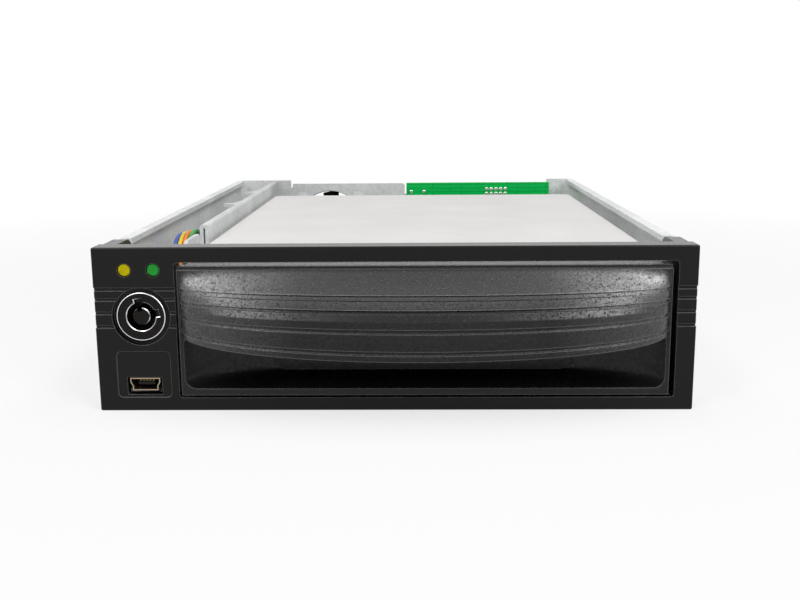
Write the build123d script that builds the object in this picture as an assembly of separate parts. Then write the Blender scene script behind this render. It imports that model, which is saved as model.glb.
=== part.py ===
from build123d import *
import math
import os

# Removable drive cage for a half-height 5.25 inch bay, in millimetres.
# While modelling, x runs to the right, y from the bezel's front face into the bay, z up from the base.

# Driving sizes of the cage
CHASSIS_W = 146.0
CHASSIS_H = 40.6
DEPTH = 205.0
SHEET = 1.5
BEND_R = 1.9
CORNER_R = 4.0
FLANGE_W = 3.0
LEFT_RETURN = 23.0
RIGHT_RETURN = 11.0
REAR_RELIEF = 5.0
RELIEF_GAP = 1.5
LIP_LEFT = -4.0
LIP_H = 14.0
LIP_EAR_W = 13.0
LIP_EAR_DROP = 6.1
CHANNEL_W = 18.6
RIGHT_MARGIN = 3.8
HALF = CHASSIS_W / 2
WALL_IN = HALF - SHEET
LIP_RIGHT = HALF - RIGHT_RETURN - RELIEF_GAP

# Clearances
SLIP = 0.3
SEAM = 0.2
FIT = 0.1
RUN = 0.05
CUT = 1.0

# Bay mounting holes, M3 tapping size
HOLE_R = 1.25
HOLE_FIRST = 53.4
HOLE_PITCH = 79.25
SIDE_HOLE_LOW = 10.0
SIDE_HOLE_RISE = 11.84
BASE_HOLE_INSET = 3.15

# Bezel, and the carrier's opening in it
BEZEL_OVERHANG = 1.0
BEZEL_RISE = 0.8
BEZEL_D = 6.0
BEZEL_EDGE_R = 0.5
OPEN_LEFT_GAP = 0.6
OPEN_BOTTOM = 3.4
OPEN_TOP_RAIL = 3.77
OPEN_R = 0.8
BEZEL_W = CHASSIS_W + 2 * BEZEL_OVERHANG
BEZEL_H = CHASSIS_H + BEZEL_RISE
RAIL_FACE_X = CHANNEL_W - HALF
OPEN_LEFT = RAIL_FACE_X + OPEN_LEFT_GAP
OPEN_RIGHT = HALF - RIGHT_MARGIN
OPEN_TOP = BEZEL_H - OPEN_TOP_RAIL

# Carrier
FACE_LEFT_GAP = 0.6
FACE_RIGHT_GAP = 1.4
FACE_TOP_GAP = 1.13
FACE_BOTTOM = 4.0
FACE_T = 4.0
FACE_RIM_D = 6.2
FACE_STEP_H = 0.7
FACE_STEP_D = 1.0
FRONT_D = 13.5
TRAY_SHEET = 1.2
TRAY_REAR_ROOM = 28.0
TRAY_BEND_R = 1.6
TRAY_CORNER_R = 2.5
COVER_SHEET = 1.0
COVER_FLANGE_H = 5.0
COVER_FLANGE_FRONT = 30.0
FACE_LEFT = OPEN_LEFT + FACE_LEFT_GAP
FACE_RIGHT = OPEN_RIGHT - FACE_RIGHT_GAP
FACE_TOP = OPEN_TOP - FACE_TOP_GAP
FACE_W = FACE_RIGHT - FACE_LEFT
CARRIER_X = (FACE_LEFT + FACE_RIGHT) / 2
TRAY_W = FACE_W - 2 * SEAM
TRAY_LEFT = CARRIER_X - TRAY_W / 2
TRAY_RIGHT = CARRIER_X + TRAY_W / 2
TRAY_TOP = FACE_TOP - COVER_SHEET
TRAY_FRONT = FACE_T + SEAM
TRAY_REAR = DEPTH - TRAY_REAR_ROOM
TRAY_REAR_IN = TRAY_REAR - TRAY_SHEET
COVER_FRONT = FACE_RIM_D + SLIP

# Rib band round the front: groove heights, shared by the bezel and the handle
RIB_DROPS = (5.5, 8.1, 11.5, 14.9)
RIB_GROOVE_H = 0.7
RIB_GROOVE_D = 0.5
RIB_BAND_D = 0.2
TOP_GROOVE_H = 0.85
RIB_LINES = tuple(FACE_TOP - drop for drop in RIB_DROPS)

# Hood handle: drop below the face's top edge, bulge at mid width, droop from the ends to mid width
HOOD_SIDE_MARGIN = 0.6
HOOD_WALL = 2.2
HOOD_TOP = ((0.8, 0.4, 0.0), (1.6, 1.2, 0.0), (3.1, 3.0, 0.1), (4.4, 5.3, 0.5))
HOOD_RIBS = (
    (RIB_DROPS[0], 8.0, 1.2),
    (RIB_DROPS[1], 12.3, 0.85),
    (9.8, 13.7, 1.1),
    (RIB_DROPS[2], 14.0, 1.8),
    (13.2, 14.25, 2.7),
    (RIB_DROPS[3], 14.0, 3.7),
    (16.5, 13.7, 4.1),
)
HOOD_ROOF_DROP = 9.7
HOOD_CLEAR_BELOW = 6.0
HOOD_HALF = FACE_W / 2 - HOOD_SIDE_MARGIN
HOOD_BULGE = max(row[1] for row in HOOD_RIBS)
ORIGIN_Y = (HOOD_BULGE - DEPTH) / 2

# Finger pocket behind the hood, and the hollow above it in the carrier front's back
POCKET_SIDE_WALL = 0.2
POCKET_FLOOR = 1.7
POCKET_TOP_DROP = 16.9
POCKET_D = 11.0
POCKET_NARROW = 20.0
POCKET_RISE = 2.0
POCKET_R = 2.5
POCKET_CROWN_MARGIN = 10.5
POCKET_CROWN_DROP = 10.9
BACK_HOLLOW_MARGIN = 8.5
BACK_HOLLOW_DROPS = (8.9, 2.9)
BACK_HOLLOW_WALL = 3.2

# Left guide rail with its folded top and the fan plate at its rear
RAIL_SHEET = 1.0
RAIL_HEM_GAP = 0.5
RAIL_HEM_H = 10.0
RAIL_RISE = 0.5
RAIL_FRONT = 46.0
RAIL_BEND_R = 4.0
RAIL_FOOT_W = 8.0
RAIL_FOOT_FRONT = 52.0
RAIL_FOOT_ROOM = 9.0
RIVET_INSET = 8.0
RIVETS = 3
RIVET_R = 1.6
RIVET_HEAD_R = 2.6
RIVET_HEAD_H = 0.8
TAB_REACH = 3.5
TAB_LENGTH = 10.0
TAB_SQUARE = 2.5
TAB_FRONTS = (63.0, 102.0, 144.0)
WEB_FRONT = 24.5
WEB_FRONT_TOP = 28.0
FRONT_TAB = (25.5, 41.5)
FRONT_TAB_DROP = 1.3
FRONT_TAB_NOTCH_DROP = 6.6
FRONT_TAB_R = 2.0
PLATE_ROOM = 12.0
PLATE_DROP = 0.6
PLATE_RIGHT = 0.1
PLATE_CORNER_R = 1.2
PLATE_NOTCH_INSET = 5.6
PLATE_NOTCH_W = 0.9
PLATE_NOTCH_D = 1.6
RAIL_TOP = CHASSIS_H + RAIL_RISE
RAIL_BACK_X = RAIL_FACE_X - 2 * RAIL_SHEET - RAIL_HEM_GAP
PLATE_Y = DEPTH - PLATE_ROOM
FAN_FRONT = PLATE_Y + RAIL_SHEET
RAIL_FOOT_ENDS = (RAIL_FOOT_FRONT, PLATE_Y - RAIL_FOOT_ROOM)

# Runners under and beside the carrier
RUNNER_FOOT_W = 8.4
RUNNER_FLANK_H = 14.0
RUNNER_FRONT = 26.0
RUNNER_ROOM = 8.0
RUNNER_PEG_R = 1.5
RUNNER_PEG_INSET = 14.0
RUNNER_PEGS = 3
GUIDE_CLEAR = 0.4
RUNNER_FLANK_T = TRAY_LEFT - GUIDE_CLEAR - RAIL_FACE_X
RUNNER_ENDS = (RUNNER_FRONT, PLATE_Y - RUNNER_ROOM)

# Bezel's rear ears, which hook into the side walls
EAR_END = 21.6
EAR_H = 10.2
EAR_DROP = 0.2
EAR_W = 3.6
EAR_R = 6.0
TONGUE_T = 1.6
TONGUE_END = 18.0
TONGUE_BOTTOM = 8.0
HOOK_YS = (11.0, 15.0)
HOOK_ZS = (14.0, 20.0)
HOOK_REACH = 1.1
EAR_TOP = BEZEL_H - EAR_DROP
EAR_BOTTOM = EAR_TOP - EAR_H

# Control panel on the bezel's left
PANEL_INSET = 10.5
PANEL_WALL = 3.0
PANEL_HOLLOW_W = 14.4
PANEL_HOLLOW_MARGIN = 1.9
LED_DROP = 5.6
LED_SPAN = 7.1
LED_R = 1.6
LED_FLANGE_R = 1.9
LED_FLANGE_Y = 5.3
LED_FLANGE_T = 1.0
LED_INSET = 0.15
LED_DOME_H = 0.5
PORT_Z = 6.8
PORT_PANEL_W = 13.4
PORT_PANEL_ENDS = (3.5, 15.3)
PORT_PANEL_R = 1.2
PORT_PANEL_D = 0.35
PORT_GAP = 0.6
PORT_GAP_TOP = 0.2
PORT_GAP_BELOW = 1.0
USB_W = 7.5
USB_H = 3.2
USB_NARROW_W = 6.4
USB_SHOULDERS = (0.35, 0.65)
USB_WALL = 0.25
USB_FRONT = 0.6
USB_BASE_D = 1.6
USB_TONGUE_W = 4.2
USB_TONGUE_T = 1.0
USB_TONGUE_FRONT = 2.0
USB_TONGUE_RISE = -0.1
USB_CONTACTS = 5
USB_CONTACT_PITCH = 0.8
USB_CONTACT_W = 0.4
USB_CONTACT_T = 0.15
PANEL_X = PANEL_INSET - HALF
PANEL_HOLLOW_ENDS = (PANEL_HOLLOW_MARGIN, BEZEL_H - PANEL_HOLLOW_MARGIN)
LED_Z = BEZEL_H - LED_DROP

# Tubular key lock
LOCK_SHARE = 7 / 12
LOCK_RECESS_R = 7.2
LOCK_RECESS_D = 2.0
LOCK_BOSS_R = 8.2
LOCK_SEAT_T = 2.5
LOCK_HEAD_R = 6.1
LOCK_HEAD_FRONT = 0.2
LOCK_RIM_W = 0.4
LOCK_DISH_D = 1.1
LOCK_BARREL_R = 4.7
LOCK_BARREL_END = 19.0
LOCK_BORE_R = 3.6
LOCK_EDGE = 0.2
LOCK_POST_R = 2.2
LOCK_POST_FRONT = 0.6
LOCK_KEYWAY_END = 7.0
LOCK_SPINDLE = 4.2
LOCK_KEY_TILT = 11.0
KEY_SLOT_W = 1.67
KEY_SLOT_R = 4.45
POST_SLOT_W = 1.2
POST_SLOT_D = 0.9
NUT_ACROSS = 12.0
NUT_T = 2.5
CAM_T = 2.2
CAM_GAP = 0.4
CAM_EYE_R = 4.2
CAM_REACH = 12.0
CAM_W = 6.0
CAM_NUT_ACROSS = 7.0
CAM_NUT_T = 2.4
CAM_NOTCH_GAP = 1.0
LOCK_Z = BEZEL_H * LOCK_SHARE
LOCK_SEAT = LOCK_RECESS_D + LOCK_SEAT_T
CAM_FRONT = LOCK_BARREL_END + CAM_GAP
CAM_BACK = CAM_FRONT + CAM_T

# Front board behind the panel
BOARD_T = 1.6
FRONT_BOARD_Y = 8.5
FRONT_BOARD_W = 12.8
FRONT_BOARD_BOTTOM = 3.5
FRONT_BOARD_DROP = 3.0
FRONT_POST_R = 1.6
FRONT_SCREW_R = 0.8
SMALL_HEAD_R = 1.5
SMALL_HEAD_T = 1.1
HEADER_W = 8.6
HEADER_D = 5.5
HEADER_BOTTOM = 4.0
HEADER_GAP = 1.6
FRONT_BOARD_BACK = FRONT_BOARD_Y + BOARD_T
FRONT_BOARD_ENDS = (FRONT_BOARD_BOTTOM, BEZEL_H - FRONT_BOARD_DROP)
NUT_CORNER_R = NUT_ACROSS / math.sqrt(3)
FRONT_POST_ZS = ((PORT_Z + USB_H / 2 + LOCK_Z - NUT_CORNER_R) / 2, LED_Z)
HEADER_ENDS = (HEADER_BOTTOM, FRONT_POST_ZS[0] - SMALL_HEAD_R - HEADER_GAP)

# Backplane
BACKPLANE_GAP = 0.7
BACKPLANE_SET_BACK = 2.4
BACKPLANE_BOTTOM = 3.6
BACKPLANE_DROP = 0.7
STANDOFF_R = 2.3
STANDOFF_INSET = 3.7
STANDOFF_RIGHT_INSET = 5.5
STANDOFF_LOW = 10.6
STANDOFF_DROP = 10.2
SCREW_R = 1.3
SCREW_HEAD_R = 2.5
SCREW_HEAD_T = 1.5
DOCK_Z = 20.0
DOCK_W = 46.0
DOCK_H = 9.0
DOCK_D = 9.0
DOCK_SLOT_W = 41.0
DOCK_SLOT_H = 2.8
DOCK_SLOT_D = 7.0
DOCK_ENGAGE = 5.0
DOCK_END_GAP = 0.5
DOCK_FACE_GAP = 0.4
DOCK_PLUG_GAP = 3.4
DOCK_CONTACTS = 14
DOCK_CONTACT_W = 1.4
DOCK_CONTACT_T = 0.12
REAR_PLUG_Z = 19.0
REAR_PLUG_H = 6.4
REAR_PLUG_WALL = 1.0
REAR_PLUG_BASE = 2.0
REAR_TONGUE_T = 1.2
REAR_TONGUE_KEY = 1.4
POWER_W = 22.0
POWER_INSET = 21.2
DATA_W = 13.0
DATA_INSET = 9.0
PIN_PITCH = 2.0
PIN_COLUMNS = 5
PIN_ROWS = 2
PINS_INSET = 22.7
PINS_DROP = 3.8
PIN_HALF = 0.25
PIN_LENGTH = 5.0
PIN_BASE_D = 2.0
PIN_MARGIN = 0.7
PLUG_D = 4.6
PLUG_BOOT = 3.0
PAD_R = 0.75
PAD_T = 0.4
LONE_PAD_INSETS = (2.1, 7.6)
BACKPLANE_ENDS = (PLATE_RIGHT + BACKPLANE_GAP, HALF - RIGHT_RETURN)
BACKPLANE_Y = PLATE_Y + BACKPLANE_SET_BACK
BACKPLANE_BACK = BACKPLANE_Y + BOARD_T
BACKPLANE_TOP = CHASSIS_H - BACKPLANE_DROP
STANDOFF_X = BACKPLANE_ENDS[0] + STANDOFF_INSET
STANDOFFS = (
    (STANDOFF_X, CHASSIS_H - STANDOFF_DROP),
    (STANDOFF_X, STANDOFF_LOW),
    (BACKPLANE_ENDS[1] - STANDOFF_RIGHT_INSET, STANDOFF_LOW),
)
DOCK_X = sum(BACKPLANE_ENDS) / 2
DOCK_FRONT = BACKPLANE_Y - DOCK_D
POWER_X = BACKPLANE_ENDS[0] + POWER_INSET
DATA_X = BACKPLANE_ENDS[1] - DATA_INSET
PINS_X = BACKPLANE_ENDS[1] - PINS_INSET
PINS_Z = BACKPLANE_TOP - PINS_DROP

# Leads from the front board to the backplane's plug: x from the panel's middle, y, and height
WIRE_R = 0.65
WIRE_STEP = 1.45
WIRE_LIFT = 0.4
WIRE_COLOURS = ("blue", "yellow", "orange", "green")
WIRE_FLOOR = 4.2
WIRE_HUMP = CHASSIS_H - 2.2
WIRE_ROUTE = (
    (-3.1, 33.0, WIRE_FLOOR + 0.8),
    (-2.9, 43.0, WIRE_HUMP - 10.0),
    (-2.3, 53.0, WIRE_HUMP),
    (-2.5, 75.0, WIRE_HUMP - 7.4),
    (-3.1, 102.0, WIRE_FLOOR + 1.8),
    (-3.5, 130.0, WIRE_FLOOR),
)
WIRE_REAR_ROOM = 2.6
WIRE_RISE_X = STANDOFF_X + STANDOFF_R + WIRE_R + CUT
WIRE_TURN_R = 6.0

# Fan
FAN_INSET = 22.5
FAN_Z = 22.5
FAN_SIZE = 30.0
FAN_D = 10.0
FAN_CORNER_R = 2.5
FAN_BORE_R = 14.2
PLATE_HOLE_R = 14.5
FAN_HOLE_SPAN = 24.0
FAN_HUB_R = 7.2
FAN_TIP_GAP = 0.5
FAN_HUB_GAP = 0.6
FAN_BLADES = 7
FAN_BLADE_T = 0.9
FAN_BLADE_CHORD = 7.4
FAN_BLADE_PITCH = 38.0
FAN_SPIDER_T = 1.6
FAN_STRUTS = 3
FAN_STRUT_W = 2.4
FAN_SHAFT_R = 1.0
FAN_SCREW_HEAD_R = 2.2
FAN_X = RAIL_FACE_X + FAN_INSET
FAN_BACK = FAN_FRONT + FAN_D

# Carrier's own board, connectors and screws
CARRIER_BOARD_ROOM = 6.8
CARRIER_BOARD_LEFT = 14.8
CARRIER_BOARD_INSET = 7.6
CARRIER_BOARD_RISE = 2.4
CARRIER_STANDOFF_INSET = 3.6
CARRIER_STANDOFF_LOW = 10.0
CARRIER_STANDOFF_DROP = 6.5
DRIVE_PLUG_W = 38.0
DRIVE_PLUG_H = 5.6
DRIVE_PLUG_D = 8.5
DRIVE_PLUG_Z = 11.6
DRIVE_SLOT_W = 33.0
DRIVE_SLOT_H = 1.8
DRIVE_SLOT_D = 5.5
PLUG_BASE_W = 44.0
PLUG_BASE_H = 7.0
WINDOW_GAP = 0.8
DRIVE_GAP = 0.5
DRIVE_HOLE_R = 1.9
DRIVE_HOLE_SPAN = 95.25
DRIVE_HOLE_PITCH = 44.45
DRIVE_HOLE_REAR = 41.28
VENT_W = 2.4
VENT_H = 20.0
VENT_PITCH = 5.0
VENT_COUNT = 6
CARRIER_SCREW_Y = 9.0
CARRIER_SCREW_INSET = 5.5
CARRIER_SCREW_LENGTH = 5.0
CARRIER_SCREW_R = 1.2
CARRIER_SCREW_HEAD_R = 2.2
CARRIER_BOARD_Y = TRAY_REAR - CARRIER_BOARD_ROOM
CARRIER_BOARD_BACK = CARRIER_BOARD_Y + BOARD_T
CARRIER_BOARD_ENDS = (BACKPLANE_ENDS[0] - CARRIER_BOARD_LEFT, TRAY_RIGHT - CARRIER_BOARD_INSET)
CARRIER_BOARD_ZS = (FACE_BOTTOM + CARRIER_BOARD_RISE, TRAY_TOP - CARRIER_BOARD_RISE)
CARRIER_STANDOFFS = (
    (CARRIER_BOARD_ENDS[0] + CARRIER_STANDOFF_INSET, TRAY_TOP - CARRIER_STANDOFF_DROP),
    (CARRIER_BOARD_ENDS[1] - CARRIER_STANDOFF_INSET, TRAY_TOP - CARRIER_STANDOFF_DROP),
    (CARRIER_BOARD_ENDS[0] + CARRIER_STANDOFF_INSET, CARRIER_STANDOFF_LOW),
)
CARRIER_SCREW_ZS = (FACE_BOTTOM + CARRIER_SCREW_INSET, TRAY_TOP - CARRIER_SCREW_INSET)
DRIVE_REAR = CARRIER_BOARD_Y - DRIVE_PLUG_D - DRIVE_GAP
DRIVE_HOLE_Y = DRIVE_REAR - DRIVE_HOLE_REAR - DRIVE_HOLE_PITCH

BASE = (Align.CENTER, Align.CENTER, Align.MIN)


# Helpers
def block(x0, x1, y0, y1, z0, z1):
    return Pos((x0 + x1) / 2, (y0 + y1) / 2, (z0 + z1) / 2) * Box(x1 - x0, y1 - y0, z1 - z0)


def rod(x, z, radius, y0, y1):
    return Pos(x, y0, z) * Rot(-90, 0, 0) * Cylinder(radius, y1 - y0, align=BASE)


def pillar(x, y, radius, z0, z1):
    return Pos(x, y, z0) * Cylinder(radius, z1 - z0, align=BASE)


def crossbar(y, z, radius, x0, x1):
    return Pos(x0, y, z) * Rot(0, 90, 0) * Cylinder(radius, x1 - x0, align=BASE)


def rect(u0, u1, v0, v1, radius=0.0):
    shape = RectangleRounded(u1 - u0, v1 - v0, radius) if radius else Rectangle(u1 - u0, v1 - v0)
    return Pos((u0 + u1) / 2, (v0 + v1) / 2) * shape


def front_plane(y):
    return Plane((0, y, 0), x_dir=(1, 0, 0), z_dir=(0, -1, 0))


def prism(sketch, y0, y1):
    return extrude(front_plane(y0) * sketch, y1 - y0, dir=(0, 1, 0))


def slab(sketch, z0, z1):
    return extrude(Pos(0, 0, z0) * sketch, z1 - z0)


def side_plate(sketch, x0, x1):
    plane = Plane((x0, 0, 0), x_dir=(0, 1, 0), z_dir=(1, 0, 0))
    return extrude(plane * sketch, x1 - x0, dir=(1, 0, 0))


def tub(x, half, front, rear, bottom, top, corner_r, bend_r):
    plan = rect(x - half, x + half, front, rear)
    plan = fillet(plan.vertices().group_by(Axis.Y)[-1], corner_r)
    section = rect(x - half, x + half, bottom, top)
    section = fillet(section.vertices().group_by(Axis.Y)[0], bend_r)
    return slab(plan, bottom, top) & prism(section, front, rear)


def spread(count, first, last, inset):
    step = (last - first - 2 * inset) / (count - 1)
    return [first + inset + i * step for i in range(count)]


def sided(side, a, b):
    return (a, b) if side > 0 else (-b, -a)


def save(name, *pieces):
    solids = [Pos(0, ORIGIN_Y, 0) * solid for piece in pieces for solid in piece.solids()]
    export_step(solids[0] if len(solids) == 1 else Compound(solids), f"parts/{name}.step")


# Cage
def chassis():
    body = tub(0, HALF, BEZEL_D, DEPTH, 0, CHASSIS_H, CORNER_R, BEND_R)
    body -= tub(
        0, WALL_IN, BEZEL_D - CUT, DEPTH - SHEET, SHEET, CHASSIS_H + CUT, CORNER_R - SHEET, BEND_R - SHEET
    )
    rear = (DEPTH - REAR_RELIEF, DEPTH + CUT)
    body -= block(LEFT_RETURN - HALF, LIP_LEFT, *rear, -CUT, CHASSIS_H + CUT)
    body -= block(LIP_RIGHT, LIP_RIGHT + RELIEF_GAP, *rear, -CUT, CHASSIS_H + CUT)
    body -= block(LIP_LEFT - CUT, LIP_LEFT + LIP_EAR_W, *rear, CHASSIS_H - LIP_EAR_DROP, CHASSIS_H + CUT)
    body -= block(LIP_LEFT + LIP_EAR_W, LIP_RIGHT + CUT, *rear, LIP_H, CHASSIS_H + CUT)
    for side in (-1, 1):
        body += block(
            *sided(side, HALF - FLANGE_W, HALF),
            EAR_END + SLIP,
            DEPTH - CORNER_R,
            CHASSIS_H - SHEET,
            CHASSIS_H,
        )
        wall = sided(side, WALL_IN - CUT, HALF + CUT)
        body -= block(*wall, BEZEL_D - CUT, EAR_END + SLIP, EAR_BOTTOM - SLIP, CHASSIS_H + CUT)
        body -= block(
            *wall, HOOK_YS[0] - SLIP, HOOK_YS[1] + SLIP, HOOK_ZS[0] - SLIP, HOOK_ZS[1] + SLIP
        )
        for y in (HOLE_FIRST, HOLE_FIRST + HOLE_PITCH):
            body -= pillar(side * (HALF - BASE_HOLE_INSET), y, HOLE_R, -CUT, SHEET + CUT)
            for z in (SIDE_HOLE_LOW, SIDE_HOLE_LOW + SIDE_HOLE_RISE):
                body -= crossbar(y, z, HOLE_R, *wall)
        for y in spread(RUNNER_PEGS, *RUNNER_ENDS, RUNNER_PEG_INSET):
            body -= pillar(runner_peg_x(side), y, RUNNER_PEG_R + FIT, -CUT, SHEET + CUT)
    for y in rivet_ys():
        body -= pillar(rivet_x(), y, RIVET_R, -CUT, SHEET + CUT)
    for x, z in STANDOFFS:
        body -= rod(x, z, SCREW_R, DEPTH - SHEET - CUT, DEPTH + CUT)
    return body


def rivet_x():
    return RAIL_FACE_X - RAIL_SHEET - RAIL_FOOT_W / 2


def rivet_ys():
    return spread(RIVETS, *RAIL_FOOT_ENDS, RIVET_INSET)


def left_guide_rail():
    web_back = RAIL_FACE_X - RAIL_SHEET
    bend_start = PLATE_Y + RAIL_SHEET - RAIL_BEND_R
    hem_low = RAIL_TOP - RAIL_HEM_H
    web = rect(WEB_FRONT, RAIL_FRONT + CUT, SHEET, min(WEB_FRONT_TOP, hem_low))
    web += rect(RAIL_FRONT, bend_start, SHEET, hem_low)
    body = side_plate(web, web_back, RAIL_FACE_X)
    tab_top = CHASSIS_H - FRONT_TAB_DROP
    tab = rect(*FRONT_TAB, hem_low, tab_top)
    tab = fillet(tab.vertices().group_by(Axis.Y)[-1], FRONT_TAB_R)
    tab += rect(FRONT_TAB[1] - CUT, RAIL_FRONT + CUT, hem_low, CHASSIS_H - FRONT_TAB_NOTCH_DROP)
    body += side_plate(tab, RAIL_BACK_X, RAIL_BACK_X + RAIL_SHEET)
    hem = rect(RAIL_BACK_X, RAIL_FACE_X, hem_low, RAIL_TOP)
    hem = fillet(hem.vertices().group_by(Axis.Y)[-1], RAIL_SHEET * 0.8)
    hem -= rect(RAIL_BACK_X + RAIL_SHEET, web_back, hem_low - CUT, RAIL_TOP - RAIL_SHEET)
    body += prism(hem, RAIL_FRONT, bend_start)
    corner = Polyline(
        (web_back, bend_start - CUT),
        (web_back, FAN_FRONT),
        (PLATE_RIGHT, FAN_FRONT),
        (PLATE_RIGHT, PLATE_Y),
        (RAIL_FACE_X, PLATE_Y),
        (RAIL_FACE_X, bend_start - CUT),
        close=True,
    )
    plan = make_face(corner)
    outer = [v for v in plan.vertices() if abs(v.X - web_back) < RUN and abs(v.Y - FAN_FRONT) < RUN]
    plan = fillet(outer, RAIL_BEND_R)
    inner = [v for v in plan.vertices() if abs(v.X - RAIL_FACE_X) < RUN and abs(v.Y - PLATE_Y) < RUN]
    plan = fillet(inner, RAIL_BEND_R - RAIL_SHEET)
    plate = slab(plan, SHEET, RAIL_TOP)
    notch_x = RAIL_FACE_X + PLATE_NOTCH_INSET
    plate_top = CHASSIS_H - PLATE_DROP
    plate -= block(notch_x, PLATE_RIGHT + CUT, PLATE_Y - CUT, DEPTH, plate_top, RAIL_TOP + CUT)
    plate -= block(notch_x, notch_x + PLATE_NOTCH_W, PLATE_Y - CUT, DEPTH, plate_top - PLATE_NOTCH_D, RAIL_TOP)
    right_end = plate.edges().filter_by(Axis.Y).group_by(Axis.X)[-1].sort_by(Axis.Z)[-1]
    plate = fillet(right_end, PLATE_CORNER_R)
    plate -= rod(FAN_X, FAN_Z, PLATE_HOLE_R, PLATE_Y - CUT, FAN_FRONT + CUT)
    for x, z in fan_corners():
        plate -= countersink(x, z)
    body += plate
    tip = RAIL_BACK_X - TAB_REACH
    for front in TAB_FRONTS:
        square = front + TAB_SQUARE
        rear = (RAIL_BACK_X, front + TAB_LENGTH)
        edges = [
            Polyline((RAIL_BACK_X + RAIL_SHEET, rear[1]), (RAIL_BACK_X + RAIL_SHEET, front), (tip, front), (tip, square)),
            Bezier((tip, square), (RAIL_BACK_X, square), rear),
            Line(rear, (RAIL_BACK_X + RAIL_SHEET, rear[1])),
        ]
        body += slab(make_face(edges), RAIL_TOP - RAIL_SHEET, RAIL_TOP)
    body += block(web_back - RAIL_FOOT_W, web_back, *RAIL_FOOT_ENDS, SHEET, SHEET + RAIL_SHEET)
    for y in rivet_ys():
        body -= pillar(rivet_x(), y, RIVET_R, 0, SHEET + RAIL_SHEET + CUT)
    return body


def rail_rivets():
    top = SHEET + RAIL_SHEET
    rivets = []
    for y in rivet_ys():
        head = pillar(rivet_x(), y, RIVET_HEAD_R, top, top + RIVET_HEAD_H)
        head = chamfer(head.edges().group_by(Axis.Z)[-1], RIVET_HEAD_H / 2)
        rivets.append(pillar(rivet_x(), y, RIVET_R, 0, top) + head)
    return rivets


def runner_edge(side):
    return TRAY_RIGHT + GUIDE_CLEAR if side > 0 else TRAY_LEFT - GUIDE_CLEAR


def runner_peg_x(side):
    return runner_edge(side) - side * RUNNER_FOOT_W / 2


def runner(side):
    edge = runner_edge(side)
    top = FACE_BOTTOM - SEAM
    foot = sorted((edge + side * RUNNER_FLANK_T, edge - side * RUNNER_FOOT_W))
    flank = sorted((edge, edge + side * RUNNER_FLANK_T))
    section = rect(*foot, SHEET, top) + rect(*flank, SHEET, RUNNER_FLANK_H)
    body = prism(section, *RUNNER_ENDS)
    lead = body.edges().filter_by(Axis.X).group_by(Axis.Z)[-1]
    body = chamfer(lead, RUNNER_FLANK_T * 2)
    for y in spread(RUNNER_PEGS, *RUNNER_ENDS, RUNNER_PEG_INSET):
        body += pillar(runner_peg_x(side), y, RUNNER_PEG_R, 0, SHEET)
    return body


# Bezel and its panel
def usb_outline(grow):
    top = PORT_Z + USB_H / 2
    upper, lower = [top - USB_H * share for share in USB_SHOULDERS]
    outline = Polyline(
        (PANEL_X - USB_W / 2, top),
        (PANEL_X + USB_W / 2, top),
        (PANEL_X + USB_W / 2, upper),
        (PANEL_X + USB_NARROW_W / 2, lower),
        (PANEL_X + USB_NARROW_W / 2, top - USB_H),
        (PANEL_X - USB_NARROW_W / 2, top - USB_H),
        (PANEL_X - USB_NARROW_W / 2, lower),
        (PANEL_X - USB_W / 2, upper),
        close=True,
    )
    face = make_face(outline)
    return offset(face, grow, kind=Kind.INTERSECTION) if grow else face


def front_bezel():
    body = block(-BEZEL_W / 2, BEZEL_W / 2, 0, BEZEL_D, 0, BEZEL_H)
    body = fillet(body.edges().filter_by(Axis.Y), BEZEL_EDGE_R)
    body = fillet(body.faces().sort_by(Axis.Y)[0].edges(), BEZEL_EDGE_R)
    body -= prism(rect(OPEN_LEFT, OPEN_RIGHT, OPEN_BOTTOM, OPEN_TOP, OPEN_R), -CUT, BEZEL_D + CUT)
    hollow = (PANEL_X - PANEL_HOLLOW_W / 2, PANEL_X + PANEL_HOLLOW_W / 2)
    body -= block(*hollow, PANEL_WALL, BEZEL_D + CUT, *PANEL_HOLLOW_ENDS)
    boss = rod(PANEL_X, LOCK_Z, LOCK_BOSS_R, PANEL_WALL, LOCK_SEAT)
    body += boss & block(*hollow, 0, BEZEL_D, *PANEL_HOLLOW_ENDS)
    for z in FRONT_POST_ZS:
        body += rod(PANEL_X, z, FRONT_POST_R, PANEL_WALL, FRONT_BOARD_Y)
        body -= rod(PANEL_X, z, FRONT_SCREW_R, PANEL_WALL, FRONT_BOARD_Y + CUT)
    band = (RIB_LINES[-1], RIB_LINES[0])
    lines = [(z, RIB_GROOVE_H, RIB_GROOVE_D) for z in RIB_LINES[1:]]
    lines.append((RIB_LINES[0], TOP_GROOVE_H, RIB_GROOVE_D))
    lines.append((sum(band) / 2, band[1] - band[0], RIB_BAND_D))
    for z, height, deep in lines:
        body -= rib_ring(z, height, deep)
    body -= rod(PANEL_X, LOCK_Z, LOCK_RECESS_R, -CUT, LOCK_RECESS_D)
    body -= rod(PANEL_X, LOCK_Z, LOCK_BARREL_R + FIT, 0, BEZEL_D)
    for side in (-1, 1):
        body -= rod(PANEL_X + side * LED_SPAN / 2, LED_Z, LED_R + FIT, -CUT, BEZEL_D)
        body += ear(side)
    panel = rect(PANEL_X - PORT_PANEL_W / 2, PANEL_X + PORT_PANEL_W / 2, *PORT_PANEL_ENDS, PORT_PANEL_R)
    body -= prism(panel, -CUT, PORT_PANEL_D)
    hole_half = USB_W / 2 + PORT_GAP
    hole_ends = (PORT_Z - USB_H / 2 - PORT_GAP_BELOW, PORT_Z + USB_H / 2 + PORT_GAP_TOP)
    body -= block(PANEL_X - hole_half, PANEL_X + hole_half, -CUT, BEZEL_D, *hole_ends)
    return body


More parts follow.
